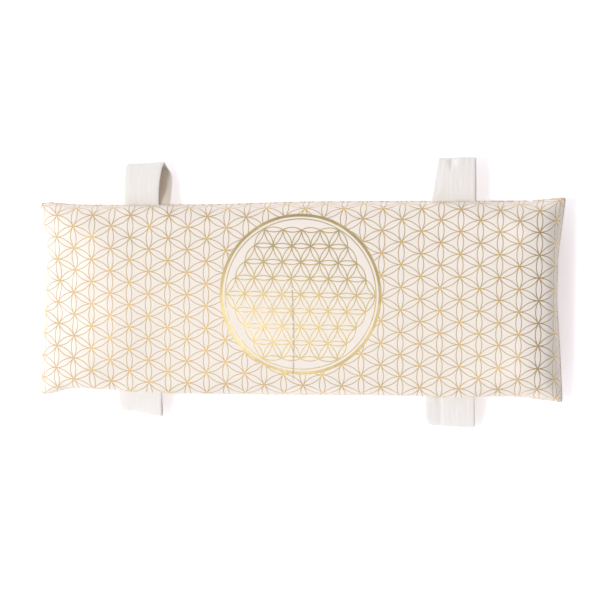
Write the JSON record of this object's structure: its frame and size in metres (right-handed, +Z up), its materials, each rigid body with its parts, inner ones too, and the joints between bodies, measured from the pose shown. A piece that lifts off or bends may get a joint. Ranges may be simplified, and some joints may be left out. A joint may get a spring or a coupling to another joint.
{
  "type": "eye pillow",
  "caption": "Long rectangular eye pillow: a seed-filled cushion in a printed cotton cover, with tape loops on both long sides and a zip in the back.",
  "frame": {"origin": "on the table under the middle of the pillow", "axes": "+X along the pillow towards its zip end, +Y towards the upper loops, +Z up out of the printed face"},
  "size_m": [0.234, 0.1251, 0.026],
  "materials": {
    "cover_print": "matte",
    "loop_tape": "matte",
    "thread": "satin",
    "zip_tape": "matte",
    "zip_coil": "satin",
    "zip_metal": "satin",
    "inner_cotton": "matte",
    "seeds": "satin"
  },
  "bodies": {
    "pillow": {"cover_front_panel": "cover_print", "cover_back_panel": "cover_print", "cover_back_end_strip": "cover_print", "cover_seam_thread": "thread", "zip_tape_inner": "zip_tape", "zip_tape_outer": "zip_tape", "zip_teeth_inner": "zip_coil", "zip_teeth_outer": "zip_coil", "zip_top_stops": "zip_metal", "zip_bottom_stop": "zip_metal", "zip_stitching": "thread", "inner_bag_front_panel": "inner_cotton", "inner_bag_back_panel": "inner_cotton", "inner_bag_seam_thread": "thread", "seed_fill": "seeds", "loop_tail_upper_left": "loop_tape", "loop_tail_upper_right": "loop_tape", "loop_tail_lower_left": "loop_tape", "loop_tail_lower_right": "loop_tape"},
    "loop_upper_left": {"loop_upper_left": "loop_tape"},
    "loop_upper_right": {"loop_upper_right": "loop_tape"},
    "loop_lower_left": {"loop_lower_left": "loop_tape"},
    "loop_lower_right": {"loop_lower_right": "loop_tape"},
    "zip_slider": {"zip_slider": "zip_metal"},
    "zip_puller": {"zip_puller": "zip_metal"}
  },
  "joints": [
    {"name": "loop_upper_left_hinge", "type": "hinge", "parent": "pillow", "child": "loop_upper_left", "pos_m": [-0.069, 0.04465, 0.012], "axis": [1, 0, 0], "range_deg": [-71, 74], "stiffness_Nm_per_rad": 0.001},
    {"name": "loop_upper_right_hinge", "type": "hinge", "parent": "pillow", "child": "loop_upper_right", "pos_m": [0.069, 0.04465, 0.012], "axis": [1, 0, 0], "range_deg": [-71, 74], "stiffness_Nm_per_rad": 0.001},
    {"name": "loop_lower_left_hinge", "type": "hinge", "parent": "pillow", "child": "loop_lower_left", "pos_m": [-0.069, -0.04465, 0.012], "axis": [-1, 0, 0], "range_deg": [-52, 93], "stiffness_Nm_per_rad": 0.001},
    {"name": "loop_lower_right_hinge", "type": "hinge", "parent": "pillow", "child": "loop_lower_right", "pos_m": [0.069, -0.04465, 0.012], "axis": [-1, 0, 0], "range_deg": [-52, 93], "stiffness_Nm_per_rad": 0.001},
    {"name": "zip_slider_slide", "type": "slide", "parent": "pillow", "child": "zip_slider", "axis": [0, -1, 0], "range_m": [0, 0.053], "deforming": ["zip_teeth_inner", "zip_teeth_outer"]},
    {"name": "zip_puller_hinge", "type": "hinge", "parent": "zip_slider", "child": "zip_puller", "pos_m": [0.10196, 0.0285, 0.00518], "axis": [0.9285, 0, 0.3714], "range_deg": [-10, 158]}
  ]
}
